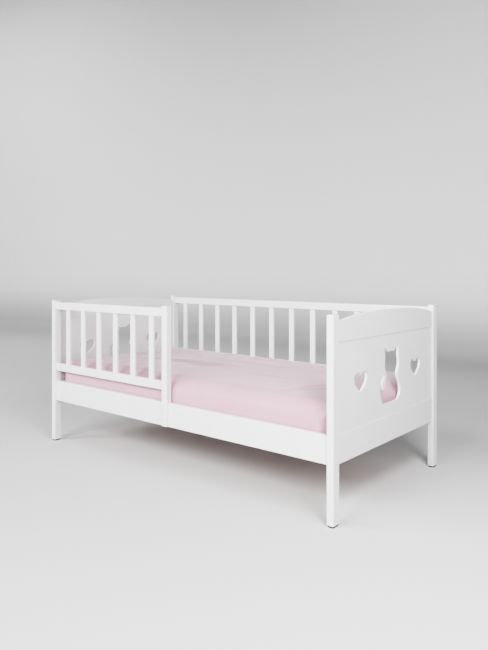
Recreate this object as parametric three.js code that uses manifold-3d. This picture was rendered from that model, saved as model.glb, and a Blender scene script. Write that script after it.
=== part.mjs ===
// Toddler bed: two framed ends with cut-out panels, a railed back, a front guard at the head half,
// and a slatted base that carries a mattress. Millimetres, +Z up, +X towards the foot end,
// +Y from the open front to the railed back. The origin is on the floor under the bed's middle.
import * as THREE from 'three';
import { mergeVertices } from 'three/addons/utils/BufferGeometryUtils.js';
import Module from 'manifold-3d';

const wasm = await Module();
wasm.setup();

// ---- Driving dimensions ----
const LENGTH = 1660;
const WIDTH = 860;
const GAP = 0.3; // clearance round a piece that sits in a cut of its neighbour

const POST = { x: 28, y: 40, top: 708, round: 4.5, endRound: 4 };
const GLIDE = { height: 4, inset: 2.5, round: 4 };

const END_RAIL = { thick: 16, recess: 7, round: 2 };
const BOTTOM_RAIL = { low: 201, high: 301 };
const TOP_RAIL = { low: 612, shoulder: 680, rise: 28, power: 2.9, steps: 20 };
const PANEL = { thick: 10, tongue: 8 };
const HEART = { offset: 228, z: 419, width: 95, height: 74.5 };
const CAT_FLOOR = 347;

const SIDE_BOARD = { low: 203, high: 302, thick: 20, inset: 10, round: 3 };
const RAIL = { thick: 20, height: 37, round: 3, topLow: 662, lowerLow: 353.5 };
const BALUSTER = { width: 30, thick: 12, round: 3 };
const REAR = { count: 12, pitch: 130.3, firstX: -719.6, closeFrom: 9, closePitch: 122 };
const GUARD = { count: 6, pitch: 123.6, firstX: -709.5 };

const GUARD_POST = { x: 32, y: 30, faceX: 22, lap: 10 };
const SCREW = { x: -2, heights: [265, 229], headR: 4, headDepth: 2.6, shankR: 1.8, length: 28 };
const CAP = { z: 680, headR: 4.5, headThick: 1.2, stemR: 3, stemLength: 6 };

const LEDGER = { thick: 20, low: 208, high: 238, endGap: 2 };
const SLAT = { count: 12, width: 70, thick: 18, endGap: 2, lastX: 727, round: 3 };
const MATTRESS = { length: 1600, width: 796, low: 256.5, high: 404, corner: 38, edge: 30 };

// ---- Places worked out from them ----
const innerX = LENGTH / 2 - POST.x; // inner faces of the posts along the bed
const innerY = WIDTH / 2 - POST.y; // inner faces of the posts across the bed
const boardMidY = WIDTH / 2 - SIDE_BOARD.inset - SIDE_BOARD.thick / 2;
const boardInnerY = boardMidY - SIDE_BOARD.thick / 2;
const endRailMidX = LENGTH / 2 - END_RAIL.recess - END_RAIL.thick / 2;
const topLowerRail = RAIL.lowerLow + RAIL.height;

// ---- Materials ----
const paint = { color: 0xf3f3f1, roughness: 0.42, metalness: 0 };
const timber = { color: 0xd8bf98, roughness: 0.7, metalness: 0 };
const cotton = { color: 0xe6c9cf, roughness: 0.95, metalness: 0 };
const rubber = { color: 0x2b2b2d, roughness: 0.8, metalness: 0 };
const steel = { color: 0xb9bbbd, roughness: 0.35, metalness: 1 };
const capPlastic = { color: 0xf7f7f5, roughness: 0.5, metalness: 0 };

// ---- Shape helpers ----
// A section drawn in a shape's own x and y is turned so that its depth runs along an axis of the bed.
const [X, Y, Z] = [new THREE.Vector3(1, 0, 0), new THREE.Vector3(0, 1, 0), new THREE.Vector3(0, 0, 1)];
const TURN = {
  x: new THREE.Matrix4().makeBasis(Y, Z, X),
  y: new THREE.Matrix4().makeBasis(Z, X, Y),
  z: new THREE.Matrix4(),
};
const SECTION = { x: ['y', 'z'], y: ['z', 'x'], z: ['x', 'y'] };

function extrudeAlong(axis, shape, depth, bevel = 0, curveSegments = 2) {
  const geometry = new THREE.ExtrudeGeometry(shape, {
    depth: depth - 2 * bevel,
    bevelEnabled: bevel > 0,
    bevelThickness: bevel,
    bevelSize: bevel,
    bevelOffset: -bevel,
    bevelSegments: 2,
    curveSegments,
  });
  geometry.translate(0, 0, bevel - depth / 2);
  return geometry.applyMatrix4(TURN[axis]);
}

function roundedRectangle(width, height, radius) {
  const [w, h] = [width / 2, height / 2];
  const shape = new THREE.Shape();
  shape.absarc(w - radius, h - radius, radius, 0, Math.PI / 2);
  shape.absarc(radius - w, h - radius, radius, Math.PI / 2, Math.PI);
  shape.absarc(radius - w, radius - h, radius, Math.PI, 1.5 * Math.PI);
  shape.absarc(w - radius, radius - h, radius, 1.5 * Math.PI, 2 * Math.PI);
  return shape;
}

// A straight bar centred on its own origin: size is { x, y, z }, and it runs along axis.
function bar(size, axis, round, endRound = 0) {
  const [across, up] = SECTION[axis];
  const section = roundedRectangle(size[across], size[up], round);
  return extrudeAlong(axis, section, size[axis], endRound);
}

function box(size, centre) {
  return new THREE.BoxGeometry(size.x, size.y, size.z).translate(centre.x, centre.y, centre.z);
}

function toSolid(geometry) {
  const bare = geometry.clone();
  bare.deleteAttribute('normal');
  bare.deleteAttribute('uv');
  const welded = mergeVertices(bare, 1e-4);
  return new wasm.Manifold(new wasm.Mesh({
    numProp: 3,
    vertProperties: new Float32Array(welded.attributes.position.array),
    triVerts: new Uint32Array(welded.index.array),
  }));
}

function cut(geometry, ...tools) {
  let solid = toSolid(geometry);
  for (const tool of tools) solid = solid.subtract(toSolid(tool));
  const mesh = solid.getMesh();
  const result = new THREE.BufferGeometry();
  result.setAttribute('position', new THREE.BufferAttribute(mesh.vertProperties, 3));
  result.setIndex(new THREE.BufferAttribute(mesh.triVerts, 1));
  const faceted = result.toNonIndexed();
  faceted.computeVertexNormals();
  return faceted;
}

const bed = new THREE.Group();

function add(name, geometry, look, x, y, z, parent = bed) {
  const mesh = new THREE.Mesh(geometry, new THREE.MeshStandardMaterial(look));
  mesh.name = name;
  mesh.position.set(x, y, z);
  parent.add(mesh);
  return mesh;
}

// ---- End frames ----
// The upper edge of a top rail: flat in the middle and falling away towards both posts.
function topRailShape() {
  const shape = new THREE.Shape();
  const middleZ = TOP_RAIL.low;
  shape.moveTo(-innerY, 0);
  shape.lineTo(innerY, 0);
  for (let i = 0; i <= TOP_RAIL.steps; i += 1) {
    const across = 1 - (2 * i) / TOP_RAIL.steps;
    const z = TOP_RAIL.shoulder + TOP_RAIL.rise * (1 - Math.abs(across) ** TOP_RAIL.power);
    shape.lineTo(across * innerY, z - middleZ);
  }
  return shape;
}

function heartHole(y) {
  const hole = new THREE.Path();
  const [w, h, z] = [HEART.width / 2, HEART.height, HEART.z];
  hole.moveTo(y, z);
  hole.bezierCurveTo(y + 0.3 * w, z + 0.18 * h, y + w, z + 0.38 * h, y + w, z + 0.72 * h);
  hole.bezierCurveTo(y + w, z + 1.06 * h, y + 0.2 * w, z + 1.1 * h, y, z + 0.84 * h);
  hole.bezierCurveTo(y - 0.2 * w, z + 1.1 * h, y - w, z + 1.06 * h, y - w, z + 0.72 * h);
  hole.bezierCurveTo(y - w, z + 0.38 * h, y - 0.3 * w, z + 0.18 * h, y, z);
  return hole;
}

// A plain sitting cat seen from behind, its tail curled up beside it on the front side.
function catHole() {
  const hole = new THREE.Path();
  const z = CAT_FLOOR;
  hole.moveTo(-62, z);
  hole.lineTo(44, z);
  hole.bezierCurveTo(72, z, 88, z + 14, 88, z + 42); // haunch
  hole.bezierCurveTo(88, z + 66, 63, z + 84, 62, z + 108); // back, up to the neck
  hole.bezierCurveTo(64, z + 120, 77, z + 128, 77, z + 148); // cheek
  hole.quadraticCurveTo(76, z + 164, 72, z + 176);
  hole.quadraticCurveTo(74, z + 198, 74, z + 219); // ear tip
  hole.quadraticCurveTo(48, z + 208, 28, z + 196);
  hole.quadraticCurveTo(8, z + 201, -14, z + 197); // crown
  hole.quadraticCurveTo(-28, z + 209, -48, z + 219); // ear tip
  hole.quadraticCurveTo(-43, z + 198, -41, z + 176);
  hole.quadraticCurveTo(-43, z + 164, -43, z + 148);
  hole.bezierCurveTo(-43, z + 128, -30, z + 120, -28, z + 108);
  hole.bezierCurveTo(-38, z + 92, -42, z + 76, -46, z + 60); // side, down to the root of the tail
  hole.quadraticCurveTo(-50, z + 46, -56, z + 60);
  hole.bezierCurveTo(-64, z + 78, -56, z + 92, -44, z + 104); // inside of the tail
  hole.quadraticCurveTo(-44, z + 118, -56, z + 116); // tip of the tail
  hole.bezierCurveTo(-90, z + 108, -96, z + 60, -62, z); // outside of the tail
  return hole;
}

function panelGeometry() {
  const height = TOP_RAIL.low - BOTTOM_RAIL.high + 2 * PANEL.tongue;
  const width = 2 * (innerY + PANEL.tongue);
  const midZ = (TOP_RAIL.low + BOTTOM_RAIL.high) / 2;
  const shape = new THREE.Shape();
  shape.moveTo(-width / 2, midZ - height / 2);
  shape.lineTo(width / 2, midZ - height / 2);
  shape.lineTo(width / 2, midZ + height / 2);
  shape.lineTo(-width / 2, midZ + height / 2);
  shape.closePath();
  shape.holes.push(heartHole(-HEART.offset), catHole(), heartHole(HEART.offset));
  return extrudeAlong('x', shape, PANEL.thick, 0, 6);
}

// The groove that holds the panel's edge, as a cutting block in the frame of the whole bed.
function panelGroove() {
  const midZ = (TOP_RAIL.low + BOTTOM_RAIL.high) / 2;
  const reach = PANEL.tongue + GAP;
  const size = {
    x: PANEL.thick + 2 * GAP,
    y: 2 * (innerY + reach),
    z: TOP_RAIL.low - BOTTOM_RAIL.high + 2 * reach,
  };
  return box(size, { x: 0, y: 0, z: midZ });
}

function endFrame(end, side) {
  const frame = new THREE.Group();
  frame.position.x = side * endRailMidX;
  bed.add(frame);
  const groove = panelGroove();
  const bottomHeight = BOTTOM_RAIL.high - BOTTOM_RAIL.low;
  const bottomMid = (BOTTOM_RAIL.high + BOTTOM_RAIL.low) / 2;
  const bottom = bar({ x: END_RAIL.thick, y: 2 * innerY, z: bottomHeight }, 'y', END_RAIL.round);
  const top = extrudeAlong('x', topRailShape(), END_RAIL.thick, END_RAIL.round);
  const grooveFor = (z) => groove.clone().translate(0, 0, -z);
  add(`${end}_bottom_rail`, cut(bottom, grooveFor(bottomMid)), paint, 0, 0, bottomMid, frame);
  add(`${end}_top_rail`, cut(top, grooveFor(TOP_RAIL.low)), paint, 0, 0, TOP_RAIL.low, frame);
  add(`${end}_panel`, panelGeometry(), paint, 0, 0, 0, frame);
}

// ---- Corner posts ----
function cornerPost(end, endSide, row, rowSide) {
  const height = POST.top - GLIDE.height;
  const middle = { x: endSide * (innerX + POST.x / 2), y: rowSide * (innerY + POST.y / 2) };
  const midZ = GLIDE.height + height / 2;
  const post = bar({ x: POST.x, y: POST.y, z: height }, 'z', POST.round, POST.endRound);
  const groove = panelGroove().translate(endSide * endRailMidX - middle.x, -middle.y, -midZ);
  add(`${end}_${row}_post`, cut(post, groove), paint, middle.x, middle.y, midZ);
  const pad = {
    x: POST.x - 2 * GLIDE.inset,
    y: POST.y - 2 * GLIDE.inset,
    z: GLIDE.height,
  };
  add(`${end}_${row}_glide`, bar(pad, 'z', GLIDE.round), rubber, middle.x, middle.y, GLIDE.height / 2);
}

// ---- Side boards, ledgers and slats ----
function sideBoard(row, side, tools = []) {
  const height = SIDE_BOARD.high - SIDE_BOARD.low;
  const midZ = (SIDE_BOARD.high + SIDE_BOARD.low) / 2;
  const board = bar({ x: 2 * innerX, y: SIDE_BOARD.thick, z: height }, 'x', SIDE_BOARD.round);
  const placed = tools.map((tool) => tool.clone().translate(0, -side * boardMidY, -midZ));
  const geometry = placed.length > 0 ? cut(board, ...placed) : board;
  add(`${row}_side_board`, geometry, paint, 0, side * boardMidY, midZ);
  const strip = {
    x: 2 * (innerX - LEDGER.endGap),
    y: LEDGER.thick,
    z: LEDGER.high - LEDGER.low,
  };
  const stripY = side * (boardInnerY - LEDGER.thick / 2);
  add(`${row}_ledger`, bar(strip, 'x', 1.5), timber, 0, stripY, (LEDGER.high + LEDGER.low) / 2);
}

function slats() {
  const size = { x: SLAT.width, y: 2 * (boardInnerY - SLAT.endGap), z: SLAT.thick };
  const pitch = (2 * SLAT.lastX) / (SLAT.count - 1);
  for (let i = 0; i < SLAT.count; i += 1) {
    const x = i * pitch - SLAT.lastX;
    add(`slat_${i + 1}`, bar(size, 'y', SLAT.round), timber, x, 0, LEDGER.high + SLAT.thick / 2);
  }
}

// ---- Railings ----
function railPair(row, y, fromX, toX) {
  const size = { x: toX - fromX, y: RAIL.thick, z: RAIL.height };
  const midX = (fromX + toX) / 2;
  const lower = bar(size, 'x', RAIL.round);
  const top = bar(size, 'x', RAIL.round);
  add(`${row}_lower_rail`, lower, paint, midX, y, RAIL.lowerLow + RAIL.height / 2);
  add(`${row}_top_rail`, top, paint, midX, y, RAIL.topLow + RAIL.height / 2);
}

// The balusters from number closeFrom on stand closePitch apart instead of pitch.
function balusters(row, y, { count, pitch, firstX, closeFrom = count, closePitch = pitch }) {
  const size = { x: BALUSTER.width, y: BALUSTER.thick, z: RAIL.topLow - topLowerRail };
  const midZ = (RAIL.topLow + topLowerRail) / 2;
  for (let i = 0; i < count; i += 1) {
    const close = Math.max(0, i - closeFrom + 1);
    const x = firstX + (i - close) * pitch + close * closePitch;
    add(`${row}_baluster_${i + 1}`, bar(size, 'z', BALUSTER.round), paint, x, y, midZ);
  }
}

// ---- Fasteners ----
// Each is turned on a lathe about +Z, its visible face at the origin and its stem going down.
function screw(grow = 0) {
  const head = SCREW.headR + grow;
  const shank = SCREW.shankR + grow;
  const profile = [
    [0, grow > 0 ? 5 : 0],
    [head, grow > 0 ? 5 : 0],
    [head, -grow],
    [shank, -SCREW.headDepth - grow],
    [shank, -SCREW.length - grow],
    [0, -SCREW.length - grow],
  ];
  return lathe(profile, 20);
}

function cap(grow = 0) {
  const profile = [
    [0, CAP.headThick],
    [0.7 * CAP.headR, 0.85 * CAP.headThick],
    [CAP.headR, 0.3 * CAP.headThick],
    [CAP.headR, 0],
    [CAP.stemR, 0],
    [CAP.stemR, -CAP.stemLength],
    [0, -CAP.stemLength],
  ];
  const socket = [
    [0, 5],
    [CAP.stemR + grow, 5],
    [CAP.stemR + grow, -CAP.stemLength - grow],
    [0, -CAP.stemLength - grow],
  ];
  return lathe(grow > 0 ? socket : profile, 20);
}

function lathe(profile, segments) {
  const points = profile.map(([r, z]) => new THREE.Vector2(r, z)).reverse();
  return new THREE.LatheGeometry(points, segments).rotateX(Math.PI / 2);
}

// ---- Front guard ----
const frontY = -WIDTH / 2;
const guardPostX = GUARD_POST.faceX - GUARD_POST.x / 2;

// A screw lies along +Y, its head flush in the guard post's front face.
const screwTurned = (grow) => screw(grow).rotateX(Math.PI / 2);
const screwTools = SCREW.heights.map((z) => screwTurned(GAP).translate(SCREW.x, frontY + GAP, z));

function guardPost() {
  const height = POST.top - SIDE_BOARD.low;
  const midZ = SIDE_BOARD.low + height / 2;
  const midY = frontY + GUARD_POST.y / 2;
  const block = bar({ x: GUARD_POST.x, y: GUARD_POST.y, z: height }, 'z', POST.round, POST.endRound);
  const notchDepth = GUARD_POST.y - GUARD_POST.lap + GAP;
  const notch = box(
    { x: 2 * GUARD_POST.x, y: 2 * notchDepth, z: 2 * (SIDE_BOARD.high - SIDE_BOARD.low + GAP) },
    { x: 0, y: GUARD_POST.y / 2, z: -height / 2 },
  );
  const holes = screwTools.map((tool) => tool.clone().translate(-guardPostX, -midY, -midZ));
  const socket = cap(GAP).rotateY(Math.PI / 2).translate(GUARD_POST.x / 2, 0, CAP.z - midZ);
  add('guard_post', cut(block, notch, socket, ...holes), paint, guardPostX, midY, midZ);
  SCREW.heights.forEach((z, i) => {
    const y = frontY + GAP;
    add(`guard_screw_${i + 1}`, screwTurned(0), steel, SCREW.x, y, z);
  });
  const capMesh = add('guard_post_cap', cap(), capPlastic, GUARD_POST.faceX + GAP, midY, CAP.z);
  capMesh.rotation.y = Math.PI / 2;
}

// ---- Mattress ----
function mattress() {
  const height = MATTRESS.high - MATTRESS.low;
  const outline = roundedRectangle(MATTRESS.length, MATTRESS.width, MATTRESS.corner);
  const body = extrudeAlong('z', outline, height, MATTRESS.edge, 5);
  add('mattress', body, cotton, 0, 0, MATTRESS.low + height / 2);
}

// ---- Assembly ----
for (const [end, endSide] of [['head', -1], ['foot', 1]]) {
  endFrame(end, endSide);
  for (const [row, rowSide] of [['front', -1], ['rear', 1]]) cornerPost(end, endSide, row, rowSide);
}
sideBoard('front', -1, screwTools);
sideBoard('rear', 1);
slats();
railPair('rear', boardMidY, -innerX, innerX);
balusters('rear', boardMidY, REAR);
railPair('guard', -boardMidY, -innerX, GUARD_POST.faceX - GUARD_POST.x);
balusters('guard', -boardMidY, GUARD);
guardPost();
mattress();

export default bed;
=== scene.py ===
"""Looks of the toddler bed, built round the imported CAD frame.

Metres, +Z up, +X towards the foot end, +Y from the open front to the railed back.
The painted and bare timber, the glides and the guard post's cap keep their CAD shapes;
the mattress in its fitted cover, the bolt caps and the cross-head screws are made here.
"""
import math

import bmesh
import bpy
import numpy as np
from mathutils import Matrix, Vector, noise


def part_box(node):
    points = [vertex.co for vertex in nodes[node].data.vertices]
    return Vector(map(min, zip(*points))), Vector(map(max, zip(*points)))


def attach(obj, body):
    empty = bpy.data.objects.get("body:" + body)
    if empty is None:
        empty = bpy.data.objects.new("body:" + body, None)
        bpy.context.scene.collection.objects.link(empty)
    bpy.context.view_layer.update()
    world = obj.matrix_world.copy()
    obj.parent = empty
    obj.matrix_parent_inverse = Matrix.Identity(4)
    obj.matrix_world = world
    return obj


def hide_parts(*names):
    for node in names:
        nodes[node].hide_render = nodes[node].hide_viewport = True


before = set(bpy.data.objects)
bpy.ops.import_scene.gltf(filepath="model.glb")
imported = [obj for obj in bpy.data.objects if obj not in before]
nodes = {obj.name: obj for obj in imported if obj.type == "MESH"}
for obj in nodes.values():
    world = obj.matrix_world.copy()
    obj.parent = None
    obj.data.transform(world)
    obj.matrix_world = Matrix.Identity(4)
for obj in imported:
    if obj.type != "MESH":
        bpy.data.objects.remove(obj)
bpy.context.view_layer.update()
scene = bpy.context.scene


# ---- Node helpers ----
def new_material(name):
    """(material, its node tree, its Principled shader)."""
    material = bpy.data.materials.new(name)
    material.use_nodes = True
    tree = material.node_tree
    return material, tree, tree.nodes["Principled BSDF"]


def node(tree, kind, inputs, **settings):
    """Adds a shader node; an input that is a socket is linked, anything else is set as its value."""
    made = tree.nodes.new("ShaderNode" + kind)
    for key, value in settings.items():
        setattr(made, key, value)
    for key, value in inputs.items():
        if isinstance(value, bpy.types.NodeSocket):
            tree.links.new(value, made.inputs[key])
        else:
            made.inputs[key].default_value = value
    return made


def object_place(tree, scale=(1, 1, 1)):
    """The surface point in the row frame, stretched along each axis."""
    place = node(tree, "TexCoord", {}).outputs["Object"]
    return node(tree, "Mapping", {"Vector": place, "Scale": scale}).outputs["Vector"]


def cloud(tree, place, scale, detail=2.0, roughness=0.5):
    """Soft noise from 0 to 1 at the given scale, in spots per metre of place."""
    inputs = {"Vector": place, "Scale": scale, "Detail": detail, "Roughness": roughness}
    return node(tree, "TexNoise", inputs).outputs["Fac"]


def maths(tree, operation, a, b=0.0):
    return node(tree, "Math", {0: a, 1: b}, operation=operation).outputs[0]


def ramp(tree, factor, low, high, at=(0.0, 1.0)):
    """Colours from low to high as factor goes from at[0] to at[1]."""
    made = node(tree, "ValToRGB", {"Fac": factor})
    ends = made.color_ramp.elements
    ends[0].position, ends[1].position = at
    ends[0].color, ends[1].color = (*low, 1), (*high, 1)
    return made.outputs["Color"]


def spread(tree, factor, low, high):
    """factor from 0 to 1, turned into low to high."""
    inputs = {"Value": factor, "To Min": low, "To Max": high}
    return node(tree, "MapRange", inputs).outputs["Result"]


def bump(tree, shader, height, distance, strength=1.0, under=None):
    """Raises the surface by height, on top of the bump under it, and returns the new normal."""
    inputs = {"Height": height, "Distance": distance, "Strength": strength}
    if under is not None:
        inputs["Normal"] = under
    normal = node(tree, "Bump", inputs).outputs["Normal"]
    tree.links.new(normal, shader.inputs["Normal"])
    return normal


def finish_material(tree, shader, color, roughness):
    """Links a material's colour and roughness."""
    tree.links.new(color, shader.inputs["Base Color"])
    tree.links.new(roughness, shader.inputs["Roughness"])


# ---- Materials ----
PAINT_LOW = (0.800, 0.800, 0.798)
PAINT_HIGH = (0.868, 0.868, 0.866)
ALONG = {"x": (7, 260, 260), "y": (260, 7, 260), "z": (260, 260, 7)}


def painted_timber(axis):
    """Satin white lacquer: rolled in fine spots, with the timber's grain showing faintly along axis."""
    material, tree, shader = new_material("white_lacquer_" + axis)
    place = object_place(tree)
    grain = cloud(tree, object_place(tree, ALONG[axis]), 1.0, 3.0, 0.6)
    peel = cloud(tree, place, 850.0, 2.0)
    drift = cloud(tree, place, 5.0, 3.0)
    tone = maths(tree, "ADD", maths(tree, "MULTIPLY", grain, 0.45), maths(tree, "MULTIPLY", drift, 0.55))
    color = ramp(tree, tone, PAINT_LOW, PAINT_HIGH, (0.25, 0.70))
    finish_material(tree, shader, color, spread(tree, maths(tree, "ADD", peel, drift), 0.27, 0.40))
    under = bump(tree, shader, grain, 0.00010, 0.5)
    bump(tree, shader, peel, 0.00008, 0.5, under)
    return material


def painted_panel():
    """The same lacquer on a smooth board, with no grain in it."""
    material, tree, shader = new_material("white_lacquer_panel")
    place = object_place(tree)
    peel = cloud(tree, place, 850.0, 2.0)
    drift = cloud(tree, place, 4.0, 4.0)
    color = ramp(tree, drift, PAINT_LOW, PAINT_HIGH, (0.20, 0.65))
    finish_material(tree, shader, color, spread(tree, maths(tree, "ADD", peel, drift), 0.29, 0.42))
    bump(tree, shader, peel, 0.00009, 0.5)
    return material


def bare_timber(axis):
    """Planed birch: fine pores and slow figure along axis, each piece a little lighter or darker."""
    material, tree, shader = new_material("bare_birch_" + axis)
    across = {"x": (0, 9, 9), "y": (9.2, 0, 0)}[axis]
    figure_scale = {"x": (1.6, 26, 26), "y": (26, 1.6, 26)}[axis]
    cell = node(tree, "VectorMath", {0: object_place(tree, across)}, operation="FLOOR").outputs[0]
    piece = node(tree, "TexWhiteNoise", {"Vector": cell}, noise_dimensions="3D").outputs["Value"]
    figure = cloud(tree, object_place(tree, figure_scale), 1.0, 5.0, 0.6)
    pores = cloud(tree, object_place(tree, tuple(4 * s for s in ALONG[axis])), 1.0, 2.0, 0.7)
    tone = maths(tree, "ADD", maths(tree, "MULTIPLY", figure, 0.75), maths(tree, "MULTIPLY", piece, 0.25))
    base = ramp(tree, tone, (0.62, 0.53, 0.45), (0.80, 0.73, 0.65), (0.25, 0.80))
    dark = ramp(tree, pores, (0.72, 0.66, 0.58), (1.0, 1.0, 1.0), (0.28, 0.50))
    mixed = node(tree, "Mix", {0: 0.6, 6: base, 7: dark}, data_type="RGBA", blend_type="MULTIPLY")
    finish_material(tree, shader, mixed.outputs[2], spread(tree, pores, 0.62, 0.78))
    bump(tree, shader, pores, 0.00012, 0.6)
    return material


def weave(tree, pitch):
    """A plain weave's height on any face of the cover: threads along the two axes that lie in the face."""
    normal = node(tree, "SeparateXYZ", {0: node(tree, "NewGeometry", {}).outputs["True Normal"]})
    place = node(tree, "SeparateXYZ", {0: object_place(tree)})
    total = None
    for axis in range(3):
        turns = maths(tree, "MULTIPLY", place.outputs[axis], 2 * math.pi / pitch)
        thread = maths(tree, "SINE", turns)
        facing = maths(tree, "ABSOLUTE", normal.outputs[axis])
        lies_in = maths(tree, "SUBTRACT", 1.0, maths(tree, "MULTIPLY", facing, facing))
        part = maths(tree, "MULTIPLY", thread, lies_in)
        total = part if total is None else maths(tree, "ADD", total, part)
    return spread(tree, maths(tree, "MULTIPLY", total, 0.5), 0.0, 1.0)


def cotton():
    """Pale pink percale: a fine plain weave with uneven threads, softly napped."""
    material, tree, shader = new_material("pink_cotton")
    threads = weave(tree, 0.0011)
    slub_x = cloud(tree, object_place(tree, (14, 620, 620)), 1.0, 2.0)
    slub_y = cloud(tree, object_place(tree, (620, 14, 620)), 1.0, 2.0)
    slub = maths(tree, "MULTIPLY", maths(tree, "ADD", slub_x, slub_y), 0.5)
    drift = cloud(tree, object_place(tree), 6.0, 3.0)
    tone = maths(tree, "ADD", maths(tree, "MULTIPLY", slub, 0.6), maths(tree, "MULTIPLY", drift, 0.4))
    color = ramp(tree, tone, (0.606, 0.360, 0.437), (0.676, 0.418, 0.502), (0.32, 0.66))
    finish_material(tree, shader, color, spread(tree, slub, 0.82, 0.95))
    shader.inputs["Sheen Weight"].default_value = 0.50
    shader.inputs["Sheen Roughness"].default_value = 0.45
    shader.inputs["Specular IOR Level"].default_value = 0.25
    under = bump(tree, shader, slub, 0.00025, 0.5)
    bump(tree, shader, threads, 0.00012, 0.4, under)
    return material


def rubber():
    """Dark felted rubber, slightly dusty."""
    material, tree, shader = new_material("dark_glide")
    grit = cloud(tree, object_place(tree), 900.0, 3.0)
    dust = cloud(tree, object_place(tree), 60.0, 3.0)
    color = ramp(tree, dust, (0.018, 0.018, 0.020), (0.055, 0.053, 0.052))
    finish_material(tree, shader, color, spread(tree, grit, 0.70, 0.95))
    bump(tree, shader, grit, 0.0002, 0.7)
    return material


def steel():
    """Zinc-plated steel with a slightly cloudy plating."""
    material, tree, shader = new_material("zinc_steel")
    stain = cloud(tree, object_place(tree), 420.0, 3.0)
    color = ramp(tree, stain, (0.66, 0.67, 0.68), (0.82, 0.83, 0.84))
    finish_material(tree, shader, color, spread(tree, stain, 0.44, 0.60))
    shader.inputs["Metallic"].default_value = 1.0
    bump(tree, shader, stain, 0.00005, 0.6)
    return material


def plastic():
    """Moulded white plastic with a faint spark texture."""
    material, tree, shader = new_material("white_plastic")
    spark = cloud(tree, object_place(tree), 1500.0, 2.0)
    drift = cloud(tree, object_place(tree), 90.0, 2.0)
    color = ramp(tree, drift, (0.880, 0.880, 0.875), (0.930, 0.930, 0.925))
    finish_material(tree, shader, color, spread(tree, spark, 0.34, 0.46))
    bump(tree, shader, spark, 0.00004, 0.5)
    return material


PAINT = {axis: painted_timber(axis) for axis in "xyz"}
PANEL = painted_panel()
TIMBER = {axis: bare_timber(axis) for axis in "xy"}
COTTON, RUBBER, STEEL, PLASTIC = cotton(), rubber(), steel(), plastic()


# ---- The timber frame ----
WELD_REACH = 0.00002  # vertices closer than this are one
ARRIS = 0.0011  # how wide the timber's edges are rounded
SMALL_ARRIS = 0.0004  # the same on the glides and the post cap


def look_of(name):
    """The finish of a CAD node, by the way its timber runs."""
    if name.endswith("_panel"):
        return PANEL
    if name.startswith("slat_"):
        return TIMBER["y"]
    if name.endswith("_ledger"):
        return TIMBER["x"]
    if name.endswith("_glide"):
        return RUBBER
    if name.endswith("_cap"):
        return PLASTIC
    low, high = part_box(name)
    size = high - low
    return PAINT["xyz"[max(range(3), key=lambda i: size[i])]]


def smoothed(piece):
    """Shades a CAD node smoothly, its meeting faces joined. Its vertices stay as they are."""
    mesh = piece.data
    if mesh.has_custom_normals:
        mesh.attributes.remove(mesh.attributes["custom_normal"])
    mesh.shade_smooth()
    weld = piece.modifiers.new("weld", "WELD")
    weld.merge_threshold = WELD_REACH


def keep_crisp(piece):
    """Leaves a CAD node's arrises sharp: the cut-outs' thin rims are clean that way."""
    smoothed(piece)
    split = piece.modifiers.new("arris", "EDGE_SPLIT")
    split.split_angle = math.radians(30)


def soften(piece, width):
    """Rounds a CAD node's arrises a little."""
    smoothed(piece)
    rounded = piece.modifiers.new("arris", "BEVEL")
    rounded.width = width
    rounded.segments = 2
    rounded.limit_method = "ANGLE"
    rounded.angle_limit = math.radians(24)
    rounded.use_clamp_overlap = True
    tidy = piece.modifiers.new("tidy", "WELD")
    tidy.merge_threshold = WELD_REACH
    flat = piece.modifiers.new("flat_faces", "WEIGHTED_NORMAL")
    flat.keep_sharp = False
    flat.weight = 100


for name, piece in nodes.items():
    if name == "mattress" or name.startswith("guard_screw"):
        continue
    piece.data.materials.clear()
    piece.data.materials.append(look_of(name))
    if name.endswith("_panel"):
        keep_crisp(piece)
    else:
        soften(piece, SMALL_ARRIS if name.endswith(("_glide", "_cap")) else ARRIS)


# ---- Small turned pieces ----
def bake(piece):
    """Applies a piece's modifiers to its mesh."""
    graph = bpy.context.evaluated_depsgraph_get()
    made = bpy.data.meshes.new_from_object(piece.evaluated_get(graph))
    piece.modifiers.clear()
    piece.data = made


def turned(name, profile, place, towards, material, around=28):
    """A lathed solid from (radius, height) pairs; its axis points towards a direction from place."""
    mesh = bpy.data.meshes.new(name)
    made = bmesh.new()
    rings = []
    for radius, height in profile:
        if radius == 0:
            rings.append([made.verts.new((0, 0, height))])
            continue
        turns = [2 * math.pi * i / around for i in range(around)]
        rings.append([made.verts.new((radius * math.cos(t), radius * math.sin(t), height)) for t in turns])
    for lower, upper in zip(rings, rings[1:]):
        for i in range(around):
            j = (i + 1) % around
            under = [lower[i % len(lower)], lower[j % len(lower)]]
            over = [upper[j % len(upper)], upper[i % len(upper)]]
            made.faces.new(list(dict.fromkeys(under + over)))
    bmesh.ops.recalc_face_normals(made, faces=made.faces)
    made.to_mesh(mesh)
    made.free()
    mesh.transform(Vector(towards).to_track_quat("Z", "Y").to_matrix().to_4x4())
    mesh.materials.append(material)
    mesh.shade_smooth()
    piece = bpy.data.objects.new(name, mesh)
    piece.location = place
    scene.collection.objects.link(piece)
    return piece


CAP_RADIUS = 0.0050
CAP_PROUD = 0.0018
CAP_DEPTH = 0.0030
CAP_PROFILE = [
    (0, -CAP_DEPTH),
    (0.55 * CAP_RADIUS, -CAP_DEPTH),
    (0.55 * CAP_RADIUS, -0.0001),
    (0.97 * CAP_RADIUS, -0.0001),
    (CAP_RADIUS, 0.25 * CAP_PROUD),
    (0.93 * CAP_RADIUS, 0.62 * CAP_PROUD),
    (0.72 * CAP_RADIUS, 0.90 * CAP_PROUD),
    (0.40 * CAP_RADIUS, CAP_PROUD),
    (0, 1.03 * CAP_PROUD),
]


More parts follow.
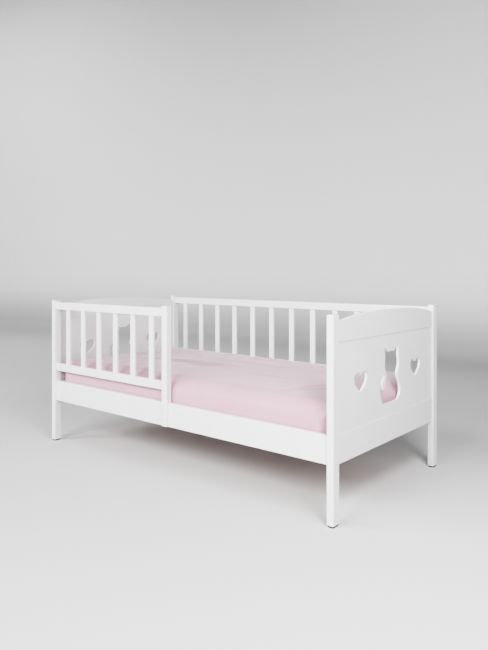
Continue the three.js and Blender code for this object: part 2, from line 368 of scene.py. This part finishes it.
BOLT_ROWS = (("lower", 0.18), ("upper", 0.82))  # the share of a rail's height that each row stands at


def bolt_caps(post, rails):
    """Push-in caps over the bolts that hold rails to a post: two to a rail, on the post's outer face."""
    low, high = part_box(post)
    side = 1 if low.x > 0 else -1
    place = Vector((high.x if side > 0 else low.x, (low.y + high.y) / 2, 0))
    for rail in rails:
        rail_low, rail_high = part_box(rail)
        height = rail_high.z - rail_low.z
        for row, share in BOLT_ROWS:
            name = f"{post}_{rail}_{row}_bolt_cap"
            name = name.replace("_post_rear_", "_").replace("_post_guard_", "_guard_")
            place.z = rail_low.z + share * height
            piece = turned(name, CAP_PROFILE, place, (side, 0, 0), PLASTIC)
            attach(piece, "frame")


for end in ("head", "foot"):
    bolt_caps(f"{end}_rear_post", ("rear_top_rail", "rear_lower_rail", "rear_side_board"))
bolt_caps("head_front_post", ("guard_top_rail", "guard_lower_rail"))


# The cross recess, in head radii: the length and width of its arms, its depth and how narrow its floor is.
RECESS_LONG, RECESS_WIDE, RECESS_DEEP, RECESS_TAPER = 0.84, 0.18, 0.26, 0.55


def cross_screw(node_name):
    """A countersunk screw with a cross recess, standing for the plain CAD one."""
    low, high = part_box(node_name)
    radius = (high.x - low.x) / 2
    length = high.y - low.y
    shank = 0.45 * radius
    profile = [
        (0, 0),
        (0.93 * radius, 0),
        (radius, -0.06 * radius),
        (radius, -0.14 * radius),
        (shank, -0.66 * radius),
        (shank, 0.12 * length - length),
        (0, -length),
    ]
    place = Vector(((low.x + high.x) / 2, low.y, (low.z + high.z) / 2))
    piece = turned(node_name.replace("guard_", "guard_cross_"), profile, place, (0, -1, 0), STEEL)
    recess = bmesh.new()
    for arm_x, arm_z in ((RECESS_LONG, RECESS_WIDE), (RECESS_WIDE, RECESS_LONG)):
        cutter = bmesh.ops.create_cube(recess, size=1.0)["verts"]
        for corner in cutter:
            shrink = RECESS_TAPER if corner.co.y > 0 else 1.0
            corner.co.x *= arm_x * radius * shrink
            corner.co.z *= arm_z * radius * shrink
            corner.co.y = (RECESS_DEEP if corner.co.y > 0 else -0.5) * radius
    cutter_mesh = bpy.data.meshes.new("recess")
    recess.to_mesh(cutter_mesh)
    recess.free()
    cutter_piece = bpy.data.objects.new("recess", cutter_mesh)
    cutter_piece.location = place
    scene.collection.objects.link(cutter_piece)
    carve = piece.modifiers.new("recess", "BOOLEAN")
    carve.operation = "DIFFERENCE"
    carve.solver = "EXACT"
    carve.use_self = True
    carve.object = cutter_piece
    bake(piece)
    bpy.data.objects.remove(cutter_piece)
    piece.data.set_sharp_from_angle(angle=math.radians(30))
    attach(piece, "frame")
    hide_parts(node_name)


for number in (1, 2):
    cross_screw(f"guard_screw_{number}")


# ---- Mattress in its fitted cover ----
MATTRESS_LOW, MATTRESS_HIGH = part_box("mattress")
VOXEL = 0.0085
SIM_FRAMES = 20
SIM_REACH = 0.010  # the simulation moves no point further than this
EDGE_WIDE, EDGE_TALL = 0.078, 0.050  # how far the top's soft edge reaches in, and down
REAR_EDGE_WIDE, REAR_EDGE_TALL = 0.034, 0.022  # the same against the railed back
HEM_EDGE = 0.016  # the rounding of the lower edge
CORNER_RADIUS = 0.034  # the corners' rounding in plan
MITRE_BLEND = 0.025  # how softly an end's side turns into a long side at a corner
UNDERSIDE_GAP = 0.0006  # between the cover and the slats' plane, before it swells
START_INSET = 0.004  # the pad starts this much smaller than its CAD solid, and swells
SIDE_SPARE = (0.0030, 0.0008)  # how far past its CAD solid the cover may stand, along and across


def get_points(mesh):
    """A mesh's vertices, one row each."""
    points = np.empty(len(mesh.vertices) * 3, np.float32)
    mesh.vertices.foreach_get("co", points)
    return points.reshape(-1, 3).astype(float)


def set_points(mesh, points):
    mesh.vertices.foreach_set("co", points.astype(np.float32).ravel())
    mesh.update()


def vertex_normals(mesh):
    found = np.empty(len(mesh.vertices) * 3, np.float32)
    mesh.vertex_normals.foreach_get("vector", found)
    return found.reshape(-1, 3).astype(float)


def pad_shape(points):
    """points moved on to the start shape: a slab with round corners, a soft top edge and a flat underside."""
    low, high = np.array(MATTRESS_LOW) + START_INSET, np.array(MATTRESS_HIGH) - START_INSET
    low[2] = MATTRESS_LOW.z + UNDERSIDE_GAP
    middle, half = (low + high) / 2, (high - low) / 2
    shape = np.clip(points - middle, -half, half)
    sign = np.where(shape < 0, -1.0, 1.0)
    # How far each point lies inside the plan outline, and which way is out.
    over = np.abs(shape[:, :2]) - (half[:2] - CORNER_RADIUS)
    share = 1 / (1 + np.exp(np.clip((over[:, 1] - over[:, 0]) / MITRE_BLEND, -50, 50)))
    outward = np.column_stack([share, 1 - share])
    round_part = np.maximum(over, 0)
    reach = np.linalg.norm(round_part, axis=1)
    in_corner = (over > 0).all(axis=1)
    outward[in_corner] = round_part[in_corner]
    outward /= np.linalg.norm(outward, axis=1)[:, None]
    inside = CORNER_RADIUS - np.where(in_corner, reach, over.max(axis=1))
    shape[:, :2] -= sign[:, :2] * outward * np.maximum(-inside, 0)[:, None]
    # The rounded edge is a quarter of an ellipse.
    rear = step(points[:, 1], 0.20, 0.36)
    wide = np.where(shape[:, 2] > 0, EDGE_WIDE + (REAR_EDGE_WIDE - EDGE_WIDE) * rear, HEM_EDGE)
    tall = np.where(shape[:, 2] > 0, EDGE_TALL + (REAR_EDGE_TALL - EDGE_TALL) * rear, HEM_EDGE)
    a = np.maximum(wide - np.maximum(inside, 0), 0) / wide
    b = np.maximum(tall - (half[2] - np.abs(shape[:, 2])), 0) / tall
    far = np.maximum(np.hypot(a, b), 1e-9)
    pull = np.maximum(far - 1, 0) / far
    shape[:, :2] -= sign[:, :2] * outward * (a * wide * pull)[:, None]
    shape[:, 2] -= sign[:, 2] * b * tall * pull
    return shape + middle


def remeshed(name, source):
    """A copy of a mesh as even quads."""
    piece = bpy.data.objects.new(name, source.data.copy())
    scene.collection.objects.link(piece)
    weld = piece.modifiers.new("weld", "WELD")
    weld.merge_threshold = WELD_REACH
    remesh = piece.modifiers.new("quads", "REMESH")
    remesh.mode = "VOXEL"
    remesh.voxel_size = VOXEL
    bake(piece)
    return piece


def smooth(piece, repeats):
    """Evens out a mesh's vertices."""
    even = piece.modifiers.new("even", "SMOOTH")
    even.iterations = repeats
    even.factor = 0.5
    bake(piece)


def swell(piece, pressure, slack):
    """Lets cloth settle over the pad under pressure, no point further than SIM_REACH from where it began."""
    before = get_points(piece.data)
    cloth = piece.modifiers.new("cover", "CLOTH")
    settings = cloth.settings
    settings.quality = 4
    settings.mass = 0.25
    settings.tension_stiffness = 18
    settings.compression_stiffness = 18
    settings.shear_stiffness = 8
    settings.bending_stiffness = 0.6
    settings.use_pressure = True
    settings.uniform_pressure_force = pressure
    settings.shrink_min = -slack
    settings.effector_weights.gravity = 0
    cloth.collision_settings.use_collision = False
    cloth.point_cache.frame_start = 1
    cloth.point_cache.frame_end = SIM_FRAMES
    for number in range(1, SIM_FRAMES + 1):
        scene.frame_set(number)
    bake(piece)
    scene.frame_set(1)
    move = get_points(piece.data) - before
    length = np.linalg.norm(move, axis=1)
    move *= np.minimum(1, SIM_REACH / np.maximum(length, 1e-9))[:, None]
    set_points(piece.data, before + move)


def field(points, scale, seed):
    """Smooth noise from about -1 to 1 at each point; scale is its spots per metre along each axis."""
    scaled = points * np.array(scale)
    shift = Vector((seed * 17.31, seed * 5.73, seed * 11.97))
    return np.array([noise.noise(Vector(p) + shift) for p in scaled])


def line_field(values, scale, seed):
    """field() of one number a point."""
    return field(np.column_stack([values, 0 * values, 0 * values]), (scale, 1, 1), seed)


def bell(value, centre, width):
    """1 at centre, falling away smoothly within a few widths."""
    return np.exp(-(((value - centre) / width) ** 2))


def step(value, start, end):
    """0 up to start and 1 from end, smooth between them."""
    t = np.clip((value - start) / (end - start), 0, 1)
    return t * t * (3 - 2 * t)


# Folds in the cover: (x, y) of the middle, heading in degrees from +X, length, width, height. Metres.
FOLDS = [
    (-0.20, -0.070, -2, 0.34, 0.075, -0.0050),
    (-0.17, 0.010, 4, 0.46, 0.080, 0.0030),
    (0.33, -0.123, 7, 0.14, 0.012, -0.0034),
    (0.33, -0.098, 9, 0.18, 0.026, 0.0026),
    (0.575, -0.180, 71, 0.24, 0.034, 0.0046),
    (0.622, -0.205, 62, 0.22, 0.026, -0.0040),
    (0.585, -0.243, 41, 0.06, 0.010, -0.0024),
    (0.10, 0.140, -5, 0.60, 0.090, 0.0026),
    (-0.50, -0.060, 14, 0.42, 0.060, 0.0032),
    (-0.60, 0.120, 24, 0.34, 0.050, -0.0028),
    (0.46, 0.110, -12, 0.30, 0.050, -0.0020),
    (-0.277, 0.330, 81, 0.16, 0.014, -0.0056),
    (-0.250, 0.330, 84, 0.14, 0.018, 0.0040),
    (-0.067, 0.340, 78, 0.13, 0.013, -0.0054),
    (-0.043, 0.345, 80, 0.12, 0.016, 0.0038),
    (0.025, 0.320, 91, 0.13, 0.012, -0.0050),
    (0.110, 0.310, 96, 0.12, 0.012, -0.0044),
    (0.30, 0.320, 100, 0.14, 0.020, -0.0022),
    (0.52, 0.310, 84, 0.14, 0.020, -0.0026),
    (-0.48, 0.310, 74, 0.15, 0.018, -0.0034),
]
FOLD_GAIN = 1.3  # all the folds are this much stronger than listed


def fold_height(points, top):
    """What FOLDS adds to the cover's height at each point; top is how far each point faces up, 0 to 1."""
    x, y, _ = points.T
    height = np.zeros(len(points))
    for number, (cx, cy, heading, length, width, rise) in enumerate(FOLDS):
        near = np.hypot(x - cx, y - cy) < 1.3 * length
        c, s = math.cos(math.radians(heading)), math.sin(math.radians(heading))
        along = ((x - cx) * c + (y - cy) * s)[near]
        across = ((y - cy) * c - (x - cx) * s)[near]
        wander = 0.5 * width * line_field(along, 9, number)
        height[near] += rise * bell(along, 0, length / 2) * bell(across + wander, 0, width / 2)
    return FOLD_GAIN * height * top


# How high the cover's small unevenness is, in metres.
SWELL_HIGH = 0.0016
REAR_GATHER = 0.0018
FRONT_PULL = 0.0012
CORNER_PULL = 0.0026
SIDE_RIPPLE = 0.0007


def wrinkle(points, normals):
    """How far the cover stands off its even surface, in metres: folds, gathers and pulls."""
    x, y, z = points.T
    top = np.clip(normals[:, 2], 0, 1) ** 2
    side = 1 - np.abs(normals[:, 2])
    height = SWELL_HIGH * field(points, (2.2, 5.0, 0), 1) * top + fold_height(points, top)
    # Gathers that start at the rear edge and run out on the top.
    rear = step(y, 0.27, 0.39) * np.clip(0.4 + 1.6 * line_field(x, 3.5, 5), 0, 1)
    height += REAR_GATHER * rear * field(np.column_stack([x + 0.15 * y, y, 0 * x]), (26, 5, 1), 3)
    # Short pulls along the front edge, where the cover turns down.
    front = bell(y, -0.375, 0.045) * np.clip(0.4 + 1.6 * line_field(x, 3.0, 8), 0, 1)
    height += FRONT_PULL * front * field(np.column_stack([x - 0.3 * z, 0 * y, z]), (22, 1, 8), 4)
    # Pulls that fan out from the four corners.
    corner_x = np.abs(x) - (MATTRESS_HIGH.x - 0.03)
    corner_y = np.abs(y) - (MATTRESS_HIGH.y - 0.03)
    near = np.exp(-(corner_x**2 + corner_y**2) / 0.13**2)
    turn = np.arctan2(corner_y, corner_x)
    fan = field(np.column_stack([turn, np.sign(x) * 3, np.sign(y) * 5]), (3.4, 1, 1), 6)
    height += CORNER_PULL * near * fan
    # The sides hang a little unevenly, in upright ripples.
    height += SIDE_RIPPLE * side * field(points, (10, 10, 3), 7)
    return height


CROWN = 0.005  # how far the top's middle stands above its CAD height
REAR_DROP = 0.002  # how far the top falls towards the railed back
CORNER_TUCK = 0.012  # how far the cover is pulled in at the corners, below the top
TUCK_FADE = (0.335, 0.370)  # the heights between which that fades out
SNUG = 0.0003  # how far the sides reach past the CAD solid
HEADROOM = 0.012  # how far the top may stand above the CAD solid


def settle(points):
    """The cover's large shape: it fills the well, crowned, lower at the back, tucked in at the corners."""
    middle = (np.array(MATTRESS_LOW) + np.array(MATTRESS_HIGH)) / 2
    half = np.array(MATTRESS_HIGH)[:2] - middle[:2]
    low, high = points.min(axis=0), points.max(axis=0)
    points[:, :2] -= ((low + high) / 2)[:2] - middle[:2]
    points[:, :2] *= (half + SNUG) / ((high - low)[:2] / 2)
    x, y, z = points.T
    rise = (z - MATTRESS_LOW.z) / (high[2] - MATTRESS_LOW.z)
    crown = np.clip(1 - (x / half[0]) ** 2, 0, 1) * np.clip(1 - ((y + 0.05) / 0.46) ** 2, 0, 1)
    wanted = MATTRESS_HIGH.z + CROWN * crown - REAR_DROP * step(y, 0.0, 0.36)
    points[:, 2] = MATTRESS_LOW.z + rise * (wanted - MATTRESS_LOW.z)
    corner = np.exp(-((np.abs(x) - half[0]) ** 2 + (np.abs(y) - half[1]) ** 2) / CORNER_RADIUS**2)
    tuck = CORNER_TUCK * corner * (1 - step(z, *TUCK_FADE))
    points[:, 0] -= np.sign(x) * tuck
    points[:, 1] -= np.sign(y) * tuck
    return points


def inside_well(points):
    """points kept clear of the boards, rails, panels and slats round the mattress."""
    spare = np.array([*SIDE_SPARE, 0.0])
    low, high = np.array(MATTRESS_LOW) - spare, np.array(MATTRESS_HIGH) + spare
    high[2] += HEADROOM
    return np.clip(points, low, high)


def mattress_cover():
    """The mattress in its fitted cover, standing for its plain CAD solid."""
    piece = remeshed("mattress_cover", nodes["mattress"])
    set_points(piece.data, pad_shape(get_points(piece.data)))
    smooth(piece, 4)
    swell(piece, pressure=4.0, slack=0.012)
    finer = piece.modifiers.new("finer", "SUBSURF")
    finer.levels = finer.render_levels = 1
    bake(piece)
    set_points(piece.data, settle(get_points(piece.data)))
    points, normals = get_points(piece.data), vertex_normals(piece.data)
    points += normals * wrinkle(points, normals)[:, None]
    set_points(piece.data, inside_well(points))
    piece.data.materials.clear()
    piece.data.materials.append(COTTON)
    piece.data.shade_smooth()
    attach(piece, "mattress")
    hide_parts("mattress")


mattress_cover()


# ---- Studio ----
# The room's outline on the floor, from above, in metres; its rear walls meet behind the bed's head.
ROOM = [
    (9.0, 3.5), (1.0, 3.5), (-3.0, 3.75), (-7.4, 2.3),
    (-13.0, -4.0), (-9.0, -14.0), (12.0, -14.0), (14.0, -4.0),
]
ROOM_CENTRE = Vector((0.4, -1.2))
CORNER_SHARE = 0.22  # how much of each side its rounded corners take
WALL_TOP = 6.5
FLOOR_SHADE = 0.70  # the paint where SWEEP's shade is 1
# The sweep from the middle of the floor, out and up: (share of the way out, height, paint shade). The shade
# column is painted light and shade: painted shade darkens the floor out towards the foot of the walls, where
# floor and wall meet, and painted light lifts the walls above.
SWEEP = [
    (0.0, 0, 1.0), (0.35, 0, 1.0), (0.50, 0, 0.98), (0.65, 0, 0.92), (0.78, 0, 0.84),
    (0.88, 0, 0.74), (0.95, 0.0, 0.68), (0.985, 0.04, 0.65), (1.0, 0.15, 0.69),
    (1.004, 0.30, 0.86), (1.006, 0.45, 1.07), (1.008, 0.60, 1.24), (1.010, 0.80, 1.32),
    (1.012, 1.3, 1.30), (1.015, 2.4, 1.20), (1.018, 4.0, 1.08), (1.02, WALL_TOP, 0.99),
]


def room_outline(steps=10):
    """ROOM with its corners rounded, as evenly stepped curves."""
    made = []
    count = len(ROOM)
    for i, corner in enumerate(ROOM):
        here = Vector(corner)
        before = here.lerp(Vector(ROOM[i - 1]), CORNER_SHARE)
        after = here.lerp(Vector(ROOM[(i + 1) % count]), CORNER_SHARE)
        for k in range(steps + 1):
            t = k / steps
            made.append(before.lerp(here, t).lerp(here.lerp(after, t), t))
    return made


def studio():
    """A painted floor that turns up into walls, with painted shade darkening it towards the foot of the walls
    and painted light lifting the walls above.
    """
    outline = room_outline()
    mesh = bpy.data.meshes.new("studio_sweep")
    made = bmesh.new()
    # This layer holds the painted shade from SWEEP: darker towards the foot of the walls, lighter up the
    # walls.
    painted_shade = made.verts.layers.float.new("painted_shade")
    rings = []
    for share, height, tone in SWEEP:
        ring = []
        for point in outline if share > 0 else outline[:1]:
            flat = ROOM_CENTRE.lerp(point, share)
            corner = made.verts.new((flat.x, flat.y, height))
            corner[painted_shade] = tone
            ring.append(corner)
        rings.append(ring)
    for inner, outer in zip(rings, rings[1:]):
        for i in range(len(outer)):
            j = (i + 1) % len(outer)
            corners = [inner[i % len(inner)], outer[i], outer[j], inner[j % len(inner)]]
            made.faces.new(list(dict.fromkeys(corners)))
    made.normal_update()
    made.to_mesh(mesh)
    made.free()
    mesh.shade_smooth()
    material, tree, shader = new_material("studio_paint")
    # The floor's grey is scaled by the painted shade: painted shadow towards the foot of the walls, painted
    # light up them.
    tone = node(tree, "Attribute", {}, attribute_name="painted_shade").outputs["Fac"]
    speckle = spread(tree, cloud(tree, object_place(tree), 2.0, 3.0), 0.985, 1.015)
    grey = maths(tree, "MULTIPLY", maths(tree, "MULTIPLY", tone, speckle), FLOOR_SHADE)
    color = node(tree, "CombineColor", {0: grey, 1: grey, 2: grey}).outputs[0]
    finish_material(tree, shader, color, spread(tree, speckle, 0.8, 0.95))
    shader.inputs["Specular IOR Level"].default_value = 0.2
    mesh.materials.append(material)
    sweep = bpy.data.objects.new("studio_sweep", mesh)
    scene.collection.objects.link(sweep)
    rounded = sweep.modifiers.new("smooth", "SUBSURF")
    rounded.levels = rounded.render_levels = 2


def soft_light(name, place, target, size, power, spread_deg=180):
    """A rectangular lamp at place, aimed at target."""
    light = bpy.data.lights.new(name, "AREA")
    light.shape = "RECTANGLE"
    light.size, light.size_y = size
    light.energy = power
    light.spread = math.radians(spread_deg)
    lamp = bpy.data.objects.new(name, light)
    lamp.location = place
    lamp.rotation_euler = (Vector(target) - Vector(place)).to_track_quat("-Z", "Y").to_euler()
    scene.collection.objects.link(lamp)


studio()
BED_MIDDLE = (0, 0, 0.4)
FOOT_END = (0.82, -0.2, 0.4)
# name, place, aimed at, size, watts, spread in degrees where it isn't 180
SOFTBOXES = [
    ("front_softbox", (0.3, -4.2, 2.7), BED_MIDDLE, (2.4, 1.6), 125),
    ("front_left_softbox", (-3.2, -4.2, 3.2), BED_MIDDLE, (2.0, 1.6), 88),
    ("far_left_softbox", (-3.6, -6.3, 3.8), BED_MIDDLE, (3.5, 2.0), 104),
    ("low_front_softbox", (0.5, -7.8, 2.1), BED_MIDDLE, (4.0, 1.6), 74),
    ("foot_softbox", (1.9, -0.9, 2.3), FOOT_END, (0.8, 0.8), 26),
    ("near_right_softbox", (2.1, -1.5, 1.9), FOOT_END, (0.8, 0.8), 19),
    ("low_right_softbox", (2.6, -1.9, 1.35), (0.82, -0.1, 0.5), (0.8, 0.6), 22),
    ("right_wall_softbox", (-1.0, 1.0, 6.0), (-1.0, 3.6, 1.2), (6.0, 0.8), 6, 60),
    ("left_wall_softbox", (-6.0, -0.2, 6.0), (-6.0, 2.9, 1.0), (4.0, 0.8), 52, 100),
]
for softbox in SOFTBOXES:
    soft_light(*softbox)

world = bpy.data.worlds.new("studio_air")
world.use_nodes = True
air = world.node_tree.nodes["Background"]
air.inputs["Color"].default_value = (0.98, 0.985, 1.0, 1)
air.inputs["Strength"].default_value = 0.02
scene.world = world

# ---- Camera ----
HORIZON_RISE = 0.08092308  # how far the horizon lies above the picture's middle, as a share of its height
camera_data = bpy.data.cameras.new("photo_camera")
camera_data.sensor_width = 36.0
camera_data.lens = 33.49
camera_data.shift_y = -HORIZON_RISE
camera = bpy.data.objects.new("photo_camera", camera_data)
camera.location = (1.890, -2.150, 0.849)
camera.rotation_euler = (math.radians(90), 0, math.radians(40.045))
scene.collection.objects.link(camera)
scene.camera = camera
scene.view_settings.view_transform = "AgX"
scene.view_settings.look = "AgX - Very High Contrast"
